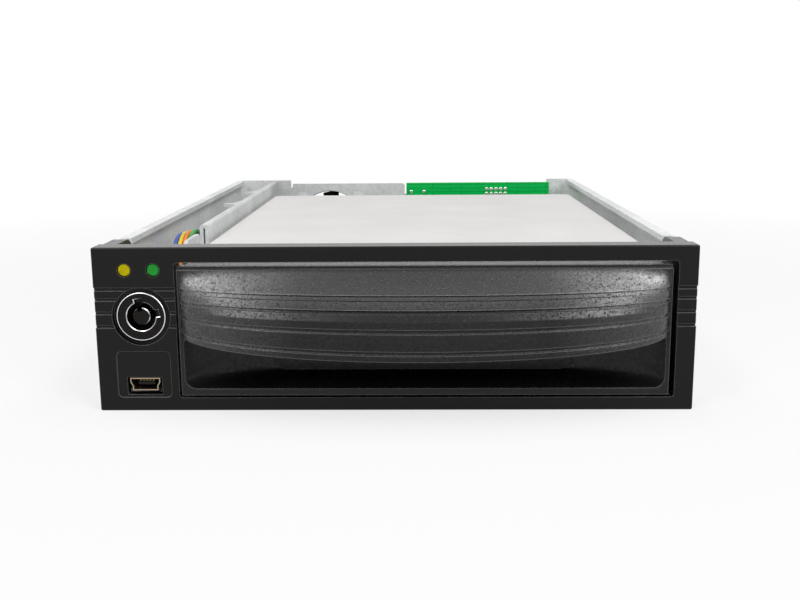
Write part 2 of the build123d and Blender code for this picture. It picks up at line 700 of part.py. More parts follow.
def rib_ring(z, height, deep):
    half = BEZEL_W / 2
    core = half - RIB_BAND_D
    low, high = z - height / 2, z + height / 2
    ring = block(-half - CUT, half + CUT, -CUT, BEZEL_D + CUT, low, high)
    return ring - block(-core, core, deep, BEZEL_D + 2 * CUT, low - CUT, high + CUT)


def ear(side):
    outer = block(*sided(side, HALF - EAR_W, HALF), BEZEL_D, EAR_END, EAR_BOTTOM, EAR_TOP)
    rear_top = outer.edges().filter_by(Axis.X).sort_by(lambda e: e.center().Y + e.center().Z)[-1]
    outer = fillet(rear_top, EAR_R)
    tongue = sided(side, WALL_IN - FIT - TONGUE_T, WALL_IN - FIT)
    body = outer + block(*tongue, BEZEL_D, TONGUE_END, TONGUE_BOTTOM, EAR_BOTTOM)
    hook = sided(side, WALL_IN - FIT, WALL_IN + HOOK_REACH)
    return body + block(*hook, *HOOK_YS, *HOOK_ZS)


def led(side):
    x = PANEL_X + side * LED_SPAN / 2
    lens = rod(x, LED_Z, LED_R, LED_INSET, FRONT_BOARD_Y)
    lens = fillet(lens.edges().group_by(Axis.Y)[0], LED_DOME_H)
    return lens + rod(x, LED_Z, LED_FLANGE_R, LED_FLANGE_Y, LED_FLANGE_Y + LED_FLANGE_T)


def usb_shell():
    tube = usb_outline(0) - usb_outline(-USB_WALL)
    return prism(tube, USB_FRONT, FRONT_BOARD_Y)


def usb_tongue_z():
    return PORT_Z + USB_TONGUE_RISE


def usb_tongue():
    base = prism(usb_outline(-USB_WALL), FRONT_BOARD_Y - USB_BASE_D, FRONT_BOARD_Y)
    z = usb_tongue_z()
    half = USB_TONGUE_W / 2
    blade = block(
        PANEL_X - half,
        PANEL_X + half,
        USB_TONGUE_FRONT,
        FRONT_BOARD_Y - USB_BASE_D,
        z - USB_TONGUE_T / 2,
        z + USB_TONGUE_T / 2,
    )
    nose = blade.edges().filter_by(Axis.X).group_by(Axis.Y)[0]
    return base + chamfer(nose, USB_TONGUE_T / 4)


def usb_contacts():
    over = usb_tongue_z() + USB_TONGUE_T / 2
    bars = []
    for i in range(USB_CONTACTS):
        x = PANEL_X + (i - (USB_CONTACTS - 1) / 2) * USB_CONTACT_PITCH
        half = USB_CONTACT_W / 2
        ends = (USB_TONGUE_FRONT + USB_TONGUE_T / 2, FRONT_BOARD_Y - USB_BASE_D)
        bars.append(block(x - half, x + half, *ends, over, over + USB_CONTACT_T))
    return bars


def front_board():
    half = FRONT_BOARD_W / 2
    body = block(PANEL_X - half, PANEL_X + half, FRONT_BOARD_Y, FRONT_BOARD_BACK, *FRONT_BOARD_ENDS)
    body -= rod(PANEL_X, LOCK_Z, LOCK_BARREL_R + SLIP, 0, FRONT_BOARD_BACK + CUT)
    for z in FRONT_POST_ZS:
        body -= rod(PANEL_X, z, FRONT_SCREW_R, 0, FRONT_BOARD_BACK + CUT)
    return body


def front_board_screws():
    screws = []
    for z in FRONT_POST_ZS:
        shank = rod(PANEL_X, z, FRONT_SCREW_R, PANEL_WALL + CUT, FRONT_BOARD_BACK)
        head = rod(PANEL_X, z, SMALL_HEAD_R, FRONT_BOARD_BACK, FRONT_BOARD_BACK + SMALL_HEAD_T)
        screws.append(shank + head)
    return screws


def front_header():
    half = HEADER_W / 2
    body = block(
        PANEL_X - half, PANEL_X + half, FRONT_BOARD_BACK, FRONT_BOARD_BACK + HEADER_D, *HEADER_ENDS
    )
    return chamfer(body.edges().filter_by(Axis.Y), SLIP)


# Key lock
def lock_housing():
    head = rod(PANEL_X, LOCK_Z, LOCK_HEAD_R, LOCK_HEAD_FRONT, LOCK_RECESS_D)
    head = fillet(head.edges().group_by(Axis.Y)[0], LOCK_RIM_W / 2)
    head -= rod(PANEL_X, LOCK_Z, LOCK_HEAD_R - LOCK_RIM_W, 0, LOCK_HEAD_FRONT + LOCK_DISH_D)
    body = head + rod(PANEL_X, LOCK_Z, LOCK_BARREL_R, LOCK_RECESS_D, LOCK_BARREL_END)
    return body - rod(PANEL_X, LOCK_Z, LOCK_BORE_R, 0, LOCK_BARREL_END + CUT)


def lock_face():
    y0 = LOCK_HEAD_FRONT + FIT
    y1 = LOCK_HEAD_FRONT + LOCK_DISH_D
    disc = rod(PANEL_X, LOCK_Z, LOCK_HEAD_R - LOCK_RIM_W, y0, y1)
    disc -= rod(PANEL_X, LOCK_Z, LOCK_BORE_R, 0, y1 + CUT)
    for turn in (LOCK_KEY_TILT, LOCK_KEY_TILT - 90):
        slot = block(-KEY_SLOT_W / 2, KEY_SLOT_W / 2, 0, y1 + CUT, 0, KEY_SLOT_R)
        disc -= Pos(PANEL_X, 0, LOCK_Z) * Rot(0, -turn, 0) * slot
    keyway = disc.faces().sort_by(Axis.Y)[0].inner_wires()[0]
    return chamfer(keyway.edges(), LOCK_EDGE)


def lock_nut():
    hexagon = RegularPolygon(NUT_ACROSS / 2, 6, major_radius=False, rotation=30)
    body = prism(Pos(PANEL_X, LOCK_Z) * hexagon, LOCK_SEAT, LOCK_SEAT + NUT_T)
    return body - rod(PANEL_X, LOCK_Z, LOCK_BARREL_R, 0, LOCK_SEAT + NUT_T + CUT)


def lock_plug():
    post = rod(PANEL_X, LOCK_Z, LOCK_POST_R, LOCK_POST_FRONT, LOCK_KEYWAY_END)
    post = chamfer(post.edges().group_by(Axis.Y)[0], LOCK_EDGE)
    half = POST_SLOT_W / 2
    notch = block(-half, half, 0, LOCK_KEYWAY_END, LOCK_POST_R - POST_SLOT_D, LOCK_POST_R + CUT)
    post -= Pos(PANEL_X, 0, LOCK_Z) * Rot(0, -LOCK_KEY_TILT, 0) * notch
    body = post + rod(PANEL_X, LOCK_Z, LOCK_BORE_R - RUN, LOCK_KEYWAY_END, CAM_FRONT)
    flat = LOCK_SPINDLE / 2
    spindle = block(-flat, flat, CAM_FRONT, CAM_BACK + CAM_NUT_T, -flat, flat)
    return body + Pos(PANEL_X, 0, LOCK_Z) * spindle


def lock_cam():
    half = CAM_W / 2
    outline = Circle(CAM_EYE_R) + rect(-half, half, 0, CAM_REACH)
    tip = outline.vertices().group_by(Axis.Y)[-1]
    outline = fillet(tip, half / 2)
    body = prism(Pos(PANEL_X, LOCK_Z) * outline, CAM_FRONT, CAM_BACK)
    square = LOCK_SPINDLE / 2
    hole = block(-square, square, CAM_FRONT - CUT, CAM_BACK + CUT, -square, square)
    return body - Pos(PANEL_X, 0, LOCK_Z) * hole


def cam_nut():
    hexagon = RegularPolygon(CAM_NUT_ACROSS / 2, 6, major_radius=False)
    square = Rectangle(LOCK_SPINDLE, LOCK_SPINDLE)
    return prism(Pos(PANEL_X, LOCK_Z) * (hexagon - square), CAM_BACK, CAM_BACK + CAM_NUT_T)


# Leads
def corner_radii(points):
    radii = []
    for before, corner, after in zip(points, points[1:], points[2:]):
        run_in = Vector(corner) - Vector(before)
        run_out = Vector(after) - Vector(corner)
        half_turn = math.radians(run_in.get_angle(run_out)) / 2
        radii.append(0.45 * min(run_in.length, run_out.length) / math.tan(half_turn))
    return radii


def lead(number):
    step = number * WIRE_STEP
    lift = number * WIRE_LIFT
    rear = DEPTH - WIRE_REAR_ROOM - step
    top = PINS_Z - plug_half_height() - PLUG_BOOT / 2
    route = [(PANEL_X + x + step, y, z + lift) for x, y, z in WIRE_ROUTE]
    points = [
        (route[0][0], FRONT_BOARD_BACK + HEADER_D, route[0][2]),
        *route,
        (route[-1][0], rear, WIRE_FLOOR),
        (WIRE_RISE_X, rear, WIRE_FLOOR),
        (WIRE_RISE_X, rear, top),
        (PINS_X - plug_half_width(), rear, top),
    ]
    radii = corner_radii(points)
    radii[-3:] = [min(radius, WIRE_TURN_R) for radius in radii[-3:]]
    path = FilletPolyline(*points, radius=radii)
    print(f"lead {number + 1}: {path.length:.0f} mm long, bend radii {[round(r, 1) for r in radii]}")
    section = Plane(origin=path @ 0, z_dir=path % 0) * Circle(WIRE_R)
    return sweep(section, path=path)


def plug_half_height():
    return PIN_ROWS * PIN_PITCH / 2 + PIN_MARGIN


def plug_half_width():
    return PIN_COLUMNS * PIN_PITCH / 2 + PIN_MARGIN


# Backplane
def backplane_board():
    body = block(*BACKPLANE_ENDS, BACKPLANE_Y, BACKPLANE_BACK, BACKPLANE_BOTTOM, BACKPLANE_TOP)
    for x, z in STANDOFFS:
        body -= rod(x, z, SCREW_R, BACKPLANE_Y - CUT, BACKPLANE_BACK + CUT)
    return body


def pin_places():
    for column in range(PIN_COLUMNS):
        for row in range(PIN_ROWS):
            x = PINS_X + (column - (PIN_COLUMNS - 1) / 2) * PIN_PITCH
            yield x, PINS_Z + (row - (PIN_ROWS - 1) / 2) * PIN_PITCH


def solder_pads():
    places = [*pin_places(), *[(BACKPLANE_ENDS[0] + inset, PINS_Z) for inset in LONE_PAD_INSETS]]
    pads = []
    for x, z in places:
        pad = rod(x, z, PAD_R, BACKPLANE_Y - PAD_T, BACKPLANE_Y)
        pads.append(chamfer(pad.edges().group_by(Axis.Y)[0], PAD_T / 2))
    return pads


def backplane_standoffs():
    posts = []
    for x, z in STANDOFFS:
        post = rod(x, z, STANDOFF_R, BACKPLANE_BACK, DEPTH - SHEET)
        posts.append(post - rod(x, z, SCREW_R, BACKPLANE_BACK - CUT, DEPTH))
    return posts


def backplane_screws():
    screws = []
    for x, z in STANDOFFS:
        head = rod(x, z, SCREW_HEAD_R, BACKPLANE_Y - SCREW_HEAD_T, BACKPLANE_Y)
        screws.append(head + rod(x, z, SCREW_R, BACKPLANE_Y, DEPTH))
    return screws


def dock_receptacle():
    body = block(
        DOCK_X - DOCK_W / 2,
        DOCK_X + DOCK_W / 2,
        DOCK_FRONT,
        BACKPLANE_Y,
        DOCK_Z - DOCK_H / 2,
        DOCK_Z + DOCK_H / 2,
    )
    body = chamfer(body.faces().sort_by(Axis.Y)[0].edges(), DOCK_FACE_GAP)
    return body - block(
        DOCK_X - DOCK_SLOT_W / 2,
        DOCK_X + DOCK_SLOT_W / 2,
        DOCK_FRONT - CUT,
        DOCK_FRONT + DOCK_SLOT_D,
        DOCK_Z - DOCK_SLOT_H / 2,
        DOCK_Z + DOCK_SLOT_H / 2,
    )


def rear_connector(x, width):
    low, high = REAR_PLUG_Z - REAR_PLUG_H / 2, REAR_PLUG_Z + REAR_PLUG_H / 2
    left, right = x - width / 2, x + width / 2
    wall = REAR_PLUG_WALL
    back = BACKPLANE_BACK + REAR_PLUG_BASE
    body = block(left, right, BACKPLANE_BACK, DEPTH, low, high)
    body -= block(left + wall, right - wall, back, DEPTH + CUT, low + wall, high - wall)
    tongue = (left + 2 * wall, right - 2 * wall)
    half = REAR_TONGUE_T / 2
    body += block(*tongue, back, DEPTH - wall, REAR_PLUG_Z - half, REAR_PLUG_Z + half)
    key = (tongue[0], tongue[0] + REAR_TONGUE_T)
    return body + block(*key, back, DEPTH - wall, REAR_PLUG_Z - REAR_TONGUE_KEY, REAR_PLUG_Z)


def pin_block(y0, y1):
    half = plug_half_width()
    height = plug_half_height()
    return block(PINS_X - half, PINS_X + half, y0, y1, PINS_Z - height, PINS_Z + height)


def pins(grow):
    half = PIN_HALF + grow
    return [
        block(x - half, x + half, BACKPLANE_BACK, BACKPLANE_BACK + PIN_LENGTH, z - half, z + half)
        for x, z in pin_places()
    ]


def rear_header():
    body = pin_block(BACKPLANE_BACK, BACKPLANE_BACK + PIN_BASE_D)
    for pin in pins(0):
        body += pin
    return body


def rear_plug():
    back = BACKPLANE_BACK + PIN_BASE_D
    half = plug_half_width()
    body = pin_block(back, back + PLUG_D)
    top = PINS_Z - plug_half_height()
    boot = (BACKPLANE_BACK + SLIP, back + PLUG_D)
    body += block(PINS_X - half, PINS_X + half, *boot, top - PLUG_BOOT, top)
    for pin in pins(FIT):
        body -= pin
    return body


# Fan
def fan_corners():
    half = FAN_HOLE_SPAN / 2
    return [(FAN_X + i * half, FAN_Z + j * half) for i in (-1, 1) for j in (-1, 1)]


def countersink(x, z):
    cone = Cone(FAN_SCREW_HEAD_R, SCREW_R, RAIL_SHEET, align=BASE)
    return Pos(x, PLATE_Y, z) * Rot(-90, 0, 0) * cone


def fan_screws():
    end = FAN_BACK - FAN_SPIDER_T
    return [countersink(x, z) + rod(x, z, SCREW_R, FAN_FRONT, end) for x, z in fan_corners()]


def fan_housing():
    half = FAN_SIZE / 2
    outline = rect(FAN_X - half, FAN_X + half, FAN_Z - half, FAN_Z + half, FAN_CORNER_R)
    body = prism(outline, FAN_FRONT, FAN_BACK)
    body -= rod(FAN_X, FAN_Z, FAN_BORE_R, FAN_FRONT - CUT, FAN_BACK + CUT)
    for x, z in fan_corners():
        body -= rod(x, z, SCREW_R, FAN_FRONT - CUT, FAN_BACK - FAN_SPIDER_T)
    spider = (FAN_BACK - FAN_SPIDER_T, FAN_BACK)
    body += rod(FAN_X, FAN_Z, FAN_HUB_R, *spider)
    for i in range(FAN_STRUTS):
        strut = block(-FAN_STRUT_W / 2, FAN_STRUT_W / 2, *spider, 0, FAN_BORE_R + FAN_TIP_GAP)
        body += Pos(FAN_X, 0, FAN_Z) * Rot(0, i * 360 / FAN_STRUTS, 0) * strut
    return body - rod(FAN_X, FAN_Z, FAN_SHAFT_R + RUN, spider[0] - CUT, FAN_BACK + CUT)


def fan_rotor():
    front = FAN_FRONT + FAN_HUB_GAP
    back = FAN_BACK - FAN_SPIDER_T - FAN_HUB_GAP
    hub = rod(FAN_X, FAN_Z, FAN_HUB_R, front, back)
    hub = fillet(hub.edges().group_by(Axis.Y)[0], FAN_HUB_GAP)
    tip = FAN_BORE_R - FAN_TIP_GAP
    half = FAN_BLADE_CHORD / 2
    blade = block(-half, half, -FAN_BLADE_T / 2, FAN_BLADE_T / 2, FAN_HUB_R - CUT, tip + CUT)
    blade = Pos(0, (front + back) / 2, 0) * Rot(0, 0, FAN_BLADE_PITCH) * blade
    swept = rod(FAN_X, FAN_Z, tip, front, back)
    for i in range(FAN_BLADES):
        hub += swept & (Pos(FAN_X, 0, FAN_Z) * Rot(0, i * 360 / FAN_BLADES, 0) * blade)
    return hub + rod(FAN_X, FAN_Z, FAN_SHAFT_R, back, FAN_BACK)


# Carrier
def hood_at(drop):
    rows = (*HOOD_TOP, *HOOD_RIBS)
    for upper, lower in zip(rows, rows[1:]):
        if upper[0] <= drop <= lower[0]:
            share = (drop - upper[0]) / (lower[0] - upper[0])
            return [a + share * (b - a) for a, b in zip(upper[1:], lower[1:])]
    return rows[-1][1:]


def hood_section(drop, inset=0.0):
    bulge, droop = hood_at(drop)
    reach = math.hypot(bulge, droop)
    out = Vector(0, -bulge / reach, -droop / reach)
    plane = Plane((CARRIER_X, 0, FACE_TOP - drop), x_dir=(1, 0, 0), z_dir=Vector(1, 0, 0).cross(out))
    half = HOOD_HALF - inset
    arc = EllipticalCenterArc((0, 0), half, reach - inset, start_angle=0, arc_size=180)
    return plane * make_face([arc, Line((-half, 0), (half, 0))])


def hood():
    grooves = [(RIB_DROPS[0], TOP_GROOVE_H), *[(drop, RIB_GROOVE_H) for drop in RIB_DROPS[1:]]]
    creases = [row[0] for row in HOOD_RIBS]
    crown = [row[0] for row in HOOD_TOP] + [grooves[0][0] - grooves[0][1] / 2]
    body = loft([hood_section(drop) for drop in crown])
    for i, (drop, height) in enumerate(grooves):
        top, bottom = drop - height / 2, drop + height / 2
        body += loft([hood_section(top, RIB_GROOVE_D), hood_section(bottom, RIB_GROOVE_D)], ruled=True)
        last = i + 1 == len(grooves)
        end = creases[-1] if last else grooves[i + 1][0] - grooves[i + 1][1] / 2
        levels = [bottom, *[c for c in creases if bottom < c < end], end]
        body += loft([hood_section(level) for level in levels], ruled=True)
    return body


def hood_cavity():
    lip = HOOD_RIBS[-1][0]
    levels = [HOOD_ROOF_DROP, RIB_DROPS[2], RIB_DROPS[3], lip, lip + HOOD_CLEAR_BELOW]
    return loft([hood_section(drop, HOOD_WALL) for drop in levels], ruled=True)


def finger_pocket():
    half = FACE_W / 2 - POCKET_SIDE_WALL
    low, top = FACE_BOTTOM + POCKET_FLOOR, FACE_TOP - POCKET_TOP_DROP
    back_r = (top - low - POCKET_RISE) * 0.45
    stages = (
        (-CUT, half, low, POCKET_R),
        (POCKET_D * 0.4, half - POCKET_NARROW * 0.25, low + POCKET_RISE * 0.15, (POCKET_R + back_r) / 2),
        (POCKET_D, half - POCKET_NARROW, low + POCKET_RISE, back_r),
    )
    sections = [
        front_plane(y) * rect(CARRIER_X - w, CARRIER_X + w, floor, top, r) for y, w, floor, r in stages
    ]
    bowl = loft(sections)
    bowl -= block(-BEZEL_W, BEZEL_W, -2 * CUT, 0, 0, BEZEL_H)
    crown_half = FACE_W / 2 - POCKET_CROWN_MARGIN
    crown = block(
        CARRIER_X - crown_half,
        CARRIER_X + crown_half,
        -CUT,
        POCKET_D - CUT,
        top - CUT / 2,
        FACE_TOP - POCKET_CROWN_DROP,
    )
    back_top = crown.edges().filter_by(Axis.X).sort_by(lambda e: e.center().Y + e.center().Z)[-1]
    return bowl + fillet(back_top, POCKET_R)


def carrier_front():
    half = FACE_W / 2
    body = block(CARRIER_X - half, CARRIER_X + half, 0, FACE_T, FACE_BOTTOM, FACE_TOP)
    back_half = TRAY_W / 2 - TRAY_SHEET - FIT
    low, high = FACE_BOTTOM + TRAY_SHEET + FIT, TRAY_TOP
    back = block(CARRIER_X - back_half, CARRIER_X + back_half, 0, FRONT_D, low, high - FIT)
    body += chamfer(back.edges().filter_by(Axis.Y).group_by(Axis.Z)[0], TRAY_BEND_R - TRAY_SHEET)
    body += block(CARRIER_X - back_half, CARRIER_X + back_half, 0, FACE_RIM_D, low, FACE_TOP)
    body -= block(-BEZEL_W, BEZEL_W, -CUT, FACE_STEP_D, FACE_TOP - FACE_STEP_H, BEZEL_H)
    hollow_half = half - BACK_HOLLOW_MARGIN
    body -= block(
        CARRIER_X - hollow_half,
        CARRIER_X + hollow_half,
        BACK_HOLLOW_WALL,
        FRONT_D + CUT,
        *[FACE_TOP - drop for drop in BACK_HOLLOW_DROPS],
    )
    body += hood()
    body -= finger_pocket()
    body -= hood_cavity()
    for side in (-1, 1):
        for z in CARRIER_SCREW_ZS:
            body -= carrier_screw(side, z)
    return body


def carrier_screw(side, z):
    outer = TRAY_W / 2
    cone = Pos(outer, CARRIER_SCREW_Y, z) * Rot(0, -90, 0) * Cone(
        CARRIER_SCREW_HEAD_R, CARRIER_SCREW_R, TRAY_SHEET, align=BASE
    )
    shank_ends = (outer - CARRIER_SCREW_LENGTH, outer - TRAY_SHEET)
    shank = crossbar(CARRIER_SCREW_Y, z, CARRIER_SCREW_R, *shank_ends)
    turn = 0 if side > 0 else 180
    placed = cone + shank
    centre = Pos(0, CARRIER_SCREW_Y, z)
    return Pos(CARRIER_X, 0, 0) * centre * Rot(0, turn, 0) * Pos(0, -CARRIER_SCREW_Y, -z) * placed


def carrier_screws():
    return [carrier_screw(side, z) for side in (-1, 1) for z in CARRIER_SCREW_ZS]


def carrier_tray():
    half = TRAY_W / 2
    body = tub(CARRIER_X, half, TRAY_FRONT, TRAY_REAR, FACE_BOTTOM, TRAY_TOP, TRAY_CORNER_R, TRAY_BEND_R)
    body -= tub(
        CARRIER_X,
        half - TRAY_SHEET,
        TRAY_FRONT - CUT,
        TRAY_REAR_IN,
        FACE_BOTTOM + TRAY_SHEET,
        TRAY_TOP + CUT,
        TRAY_CORNER_R - TRAY_SHEET,
        TRAY_BEND_R - TRAY_SHEET,
    )
    body -= block(
        TRAY_LEFT - CUT,
        TRAY_LEFT + TRAY_SHEET + CUT,
        CAM_FRONT - CAM_NOTCH_GAP,
        CAM_BACK + CAM_NOTCH_GAP,
        LOCK_Z - CAM_W / 2 - CAM_NOTCH_GAP,
        TRAY_TOP + CUT,
    )
    gap = WINDOW_GAP
    body -= block(
        DOCK_X - PLUG_BASE_W / 2 - gap,
        DOCK_X + PLUG_BASE_W / 2 + gap,
        TRAY_REAR_IN - CUT,
        TRAY_REAR + CUT,
        DOCK_Z - PLUG_BASE_H / 2 - gap,
        DOCK_Z + PLUG_BASE_H / 2 + gap,
    )
    middle = (FACE_BOTTOM + TRAY_TOP) / 2
    for i in range(VENT_COUNT):
        x = FAN_X + (i - (VENT_COUNT - 1) / 2) * VENT_PITCH
        slot = Pos(x, middle) * Rot(0, 0, 90) * SlotOverall(VENT_H, VENT_W)
        body -= prism(slot, TRAY_REAR_IN - CUT, TRAY_REAR + CUT)
    for side in (-1, 1):
        for z in CARRIER_SCREW_ZS:
            body -= carrier_screw(side, z)
        for y in (DRIVE_HOLE_Y, DRIVE_HOLE_Y + DRIVE_HOLE_PITCH):
            x = CARRIER_X + side * DRIVE_HOLE_SPAN / 2
            body -= pillar(x, y, DRIVE_HOLE_R, FACE_BOTTOM - CUT, FACE_BOTTOM + TRAY_SHEET + CUT)
    for x, z in CARRIER_STANDOFFS:
        body -= rod(x, z, SCREW_R, TRAY_REAR_IN - CUT, TRAY_REAR + CUT)
    return body


def carrier_cover():
    half = TRAY_W / 2
    plan = rect(CARRIER_X - half, CARRIER_X + half, COVER_FRONT, TRAY_REAR)
    plan = fillet(plan.vertices().group_by(Axis.Y)[-1], TRAY_CORNER_R)
    body = slab(plan, TRAY_TOP, FACE_TOP)
    inside = half - TRAY_SHEET - SLIP
    for side in (-1, 1):
        flange = sorted((CARRIER_X + side * inside, CARRIER_X + side * (inside - COVER_SHEET)))
        ends = (COVER_FLANGE_FRONT, CARRIER_BOARD_Y - COVER_FLANGE_H)
        body += block(*flange, *ends, TRAY_TOP - COVER_FLANGE_H, TRAY_TOP)
    return body


def carrier_board():
    body = block(*CARRIER_BOARD_ENDS, CARRIER_BOARD_Y, CARRIER_BOARD_BACK, *CARRIER_BOARD_ZS)
    for x, z in CARRIER_STANDOFFS:
        body -= rod(x, z, SCREW_R, CARRIER_BOARD_Y - CUT, CARRIER_BOARD_BACK + CUT)
    return body


def carrier_board_standoffs():
    posts = []
    for x, z in CARRIER_STANDOFFS:
        post = rod(x, z, STANDOFF_R, CARRIER_BOARD_BACK, TRAY_REAR_IN)
        posts.append(post - rod(x, z, SCREW_R, CARRIER_BOARD_BACK - CUT, TRAY_REAR))
    return posts


def carrier_board_screws():
    screws = []
    for x, z in CARRIER_STANDOFFS:
        head = rod(x, z, SCREW_HEAD_R, CARRIER_BOARD_Y - SCREW_HEAD_T, CARRIER_BOARD_Y)
        screws.append(head + rod(x, z, SCREW_R, CARRIER_BOARD_Y, TRAY_REAR))
    return screws


def drive_connector():
    front = CARRIER_BOARD_Y - DRIVE_PLUG_D
    left, right = DOCK_X - DRIVE_PLUG_W / 2, DOCK_X + DRIVE_PLUG_W / 2
    low, high = DRIVE_PLUG_Z - DRIVE_PLUG_H / 2, DRIVE_PLUG_Z + DRIVE_PLUG_H / 2
    body = block(left, right, front, CARRIER_BOARD_Y, low, high)
    body = chamfer(body.edges().filter_by(Axis.Y), DRIVE_SLOT_H / 2)
    half = DRIVE_SLOT_W / 2
    return body - block(
        DOCK_X - half,
        DOCK_X + half,
        front - CUT,
        front + DRIVE_SLOT_D,
        DRIVE_PLUG_Z - DRIVE_SLOT_H / 2,
        DRIVE_PLUG_Z + DRIVE_SLOT_H / 2,
    )


def dock_tongue():
    half_w = DOCK_SLOT_W / 2 - DOCK_END_GAP
    half_t = DOCK_SLOT_H / 2 - DOCK_FACE_GAP
    ends = (DOCK_FRONT - DOCK_PLUG_GAP, DOCK_FRONT + DOCK_ENGAGE)
    return half_w, half_t, ends


def dock_plug():
    half_w, half_t, ends = dock_tongue()
    body = block(
        DOCK_X - PLUG_BASE_W / 2,
        DOCK_X + PLUG_BASE_W / 2,
        CARRIER_BOARD_BACK,
        ends[0],
        DOCK_Z - PLUG_BASE_H / 2,
        DOCK_Z + PLUG_BASE_H / 2,
    )
    tongue = block(DOCK_X - half_w, DOCK_X + half_w, *ends, DOCK_Z - half_t, DOCK_Z + half_t)
    nose = tongue.edges().filter_by(Axis.X).group_by(Axis.Y)[-1]
    return body + chamfer(nose, half_t / 2)


def dock_contacts():
    half_w, half_t, ends = dock_tongue()
    pitch = 2 * half_w / DOCK_CONTACTS
    bars = []
    for i in range(DOCK_CONTACTS):
        x = DOCK_X + (i - (DOCK_CONTACTS - 1) / 2) * pitch
        half = DOCK_CONTACT_W / 2
        span = (x - half, x + half, ends[0], ends[1] - half_t)
        bars.append(block(*span, DOCK_Z + half_t, DOCK_Z + half_t + DOCK_CONTACT_T))
        bars.append(block(*span, DOCK_Z - half_t - DOCK_CONTACT_T, DOCK_Z - half_t))
    return bars


os.makedirs("parts", exist_ok=True)
save("chassis", chassis())
save("left_guide_rail", left_guide_rail())
save("rail_rivets", *rail_rivets())
save("left_runner", runner(-1))
save("right_runner", runner(1))
save("front_bezel", front_bezel())
save("led_yellow", led(-1))
save("led_green", led(1))
save("usb_shell", usb_shell())
save("usb_tongue", usb_tongue())
save("usb_contacts", *usb_contacts())
save("front_board", front_board())
save("front_board_screws", *front_board_screws())
save("front_header", front_header())
save("lock_housing", lock_housing())
save("lock_face", lock_face())
save("lock_nut", lock_nut())
save("lock_plug", lock_plug())
save("lock_cam", lock_cam())
save("cam_nut", cam_nut())
for number, colour in enumerate(WIRE_COLOURS):
    save(f"wire_{colour}", lead(number))
save("backplane_board", backplane_board())
save("solder_pads", *solder_pads())
save("backplane_standoffs", *backplane_standoffs())
save("backplane_screws", *backplane_screws())
save("dock_receptacle", dock_receptacle())
save("power_connector", rear_connector(POWER_X, POWER_W))
save("data_connector", rear_connector(DATA_X, DATA_W))
save("rear_header", rear_header())
save("rear_plug", rear_plug())
save("fan_housing", fan_housing())
save("fan_screws", *fan_screws())
save("fan_rotor", fan_rotor())
save("carrier_front", carrier_front())
save("carrier_tray", carrier_tray())
save("carrier_screws", *carrier_screws())
save("carrier_cover", carrier_cover())
save("carrier_board", carrier_board())
save("carrier_board_standoffs", *carrier_board_standoffs())
save("carrier_board_screws", *carrier_board_screws())
save("drive_connector", drive_connector())
save("dock_plug", dock_plug())
save("dock_contacts", *dock_contacts())
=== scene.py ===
import math

import bpy
from mathutils import Matrix, Vector

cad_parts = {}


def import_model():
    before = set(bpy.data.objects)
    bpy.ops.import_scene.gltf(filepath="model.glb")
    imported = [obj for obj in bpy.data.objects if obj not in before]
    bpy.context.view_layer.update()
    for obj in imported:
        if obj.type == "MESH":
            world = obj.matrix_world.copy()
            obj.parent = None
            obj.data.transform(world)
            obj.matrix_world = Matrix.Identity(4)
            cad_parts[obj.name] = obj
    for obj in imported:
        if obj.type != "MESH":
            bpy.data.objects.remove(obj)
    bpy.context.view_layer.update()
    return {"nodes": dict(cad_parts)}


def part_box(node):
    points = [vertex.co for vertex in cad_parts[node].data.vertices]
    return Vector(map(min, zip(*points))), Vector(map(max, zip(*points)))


MM = 0.001

# Camera of the photograph, in the frame's axes
IMAGE_W = 800
FOCAL_PX = 1019.2
SENSOR_MM = 36.0
CAMERA_AT = (6.2 * MM, -339.7 * MM, 77.7 * MM)
CAMERA_YAW = math.radians(-1.11)
CAMERA_PITCH = math.radians(11.46)
CAMERA_ROLL = math.radians(0.44)

# Colours
WHITE = (1.0, 1.0, 1.0)
FLOOR_PALE = (0.9, 0.9, 0.9)
BEZEL_BLACK = (0.0065, 0.006, 0.0057)
CARRIER_BLACK = (0.009, 0.009, 0.0095)
SHEET_GREY = (0.8, 0.815, 0.815)
# Painted shade: the rail's copy of the chassis's sheet metal is painted darker
RAIL_SHADED_GREY = (0.68, 0.695, 0.695)
COVER_GREY = (0.8, 0.787, 0.772)
CHROME = (0.8, 0.8, 0.81)
LOCK_DARK = (0.006, 0.005, 0.004)
PORT_TIN = (0.46, 0.36, 0.27)
NYLON = (0.7, 0.67, 0.6)
ZINC = (0.55, 0.55, 0.56)
TIN = (0.8, 0.8, 0.78)
BRASS = (0.6, 0.43, 0.18)
GOLD = (0.8, 0.55, 0.2)
BOARD_GREEN = (0.0, 0.56, 0.095)
TRACE_GREEN = (0.0, 0.37, 0.062)
LED_YELLOW = (0.46, 0.4, 0.001)
LED_GREEN = (0.02, 0.28, 0.035)
WIRES = {
    "wire_yellow": (0.75, 0.55, 0.02),
    "wire_green": (0.05, 0.36, 0.09),
    "wire_orange": (0.8, 0.22, 0.01),
    "wire_blue": (0.03, 0.1, 0.42),
}

# Ranges that a noise mostly stays within, for soft and for fine noise
NOISE_MID = (0.3, 0.7)
FINE_MID = (0.35, 0.65)

# Skin of the mouldings: grain, clouds and pits per metre, and the pits' waver, rim and depth
GRAIN_SCALE = 1500.0
CLOUD_SCALE = 55.0
PIT_SCALE = 1500.0
PIT_WARP_SCALE = 2400.0
PIT_WARP = 0.5 * MM
PIT_RIM = (0.05, 0.4)
PIT_DEPTH = 0.12 * MM

# Skin of the mouldings: how clouds, pits and grain change its tone, sheen and dullness
CLOUD_TONE = (0.8, 1.25)
# Painted shade: a pit's bottom keeps this share of the tone and, below, of the sheen
PIT_PAINTED_SHADE = 0.3
PIT_SHEEN_SHADE = 0.45
GRAIN_SHEEN = (0.75, 1.25)
GRAIN_DULL = 0.06
